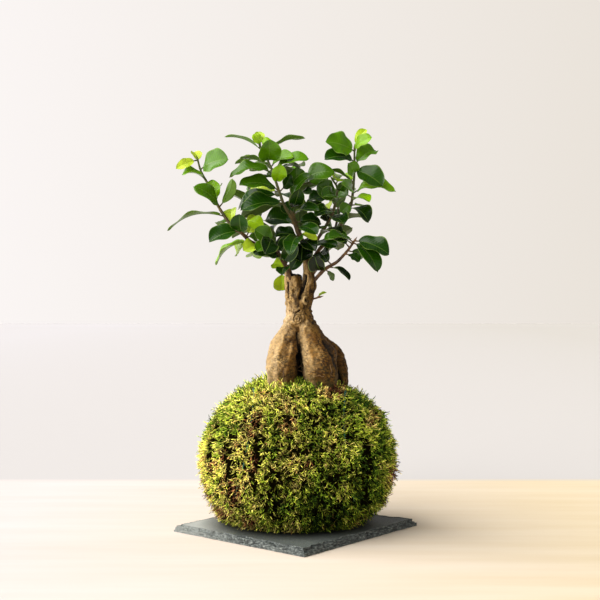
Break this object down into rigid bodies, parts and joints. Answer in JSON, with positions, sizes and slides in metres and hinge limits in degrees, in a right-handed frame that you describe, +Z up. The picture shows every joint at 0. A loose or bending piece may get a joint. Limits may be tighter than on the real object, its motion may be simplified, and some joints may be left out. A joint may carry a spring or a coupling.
{
  "type": "kokedama moss ball plant",
  "caption": "Fig bonsai with swollen roots in a round moss-wrapped soil ball, bound with thread and standing on a square slate tile.",
  "frame": {"origin": "middle of the slate tile's flat underside, on the surface that it stands on", "axes": "+Z up the trunk, -Y towards the side that shows the two swollen front roots, +X to the right of that view"},
  "size_m": [0.2143, 0.2114, 0.348],
  "materials": {
    "slate": "riven, matt, chipped edges",
    "soil": "damp fibrous soil",
    "moss": "shaggy living moss, yellow-green to brown",
    "thread": "dark green twisted thread",
    "bark": "smooth tan bark with fine rings and dots",
    "leaf": "waxy, glossy above, paler below"
  },
  "bodies": {
    "root": {"slate_tile": "slate", "soil_ball": "soil", "moss_layer": "moss", "binding_thread": "thread", "trunk": "bark", "spray_left_high": "leaf", "spray_left_low": "leaf", "spray_left_inner": "leaf", "spray_crown_middle": "leaf", "spray_crown_left": "leaf", "spray_crown_right": "leaf", "spray_right_high": "leaf", "spray_right_low": "leaf", "sprout_right": "leaf", "sprout_left": "leaf", "spray_back_left": "leaf", "spray_back_middle": "leaf", "spray_back_right": "leaf"}
  },
  "joints": []
}
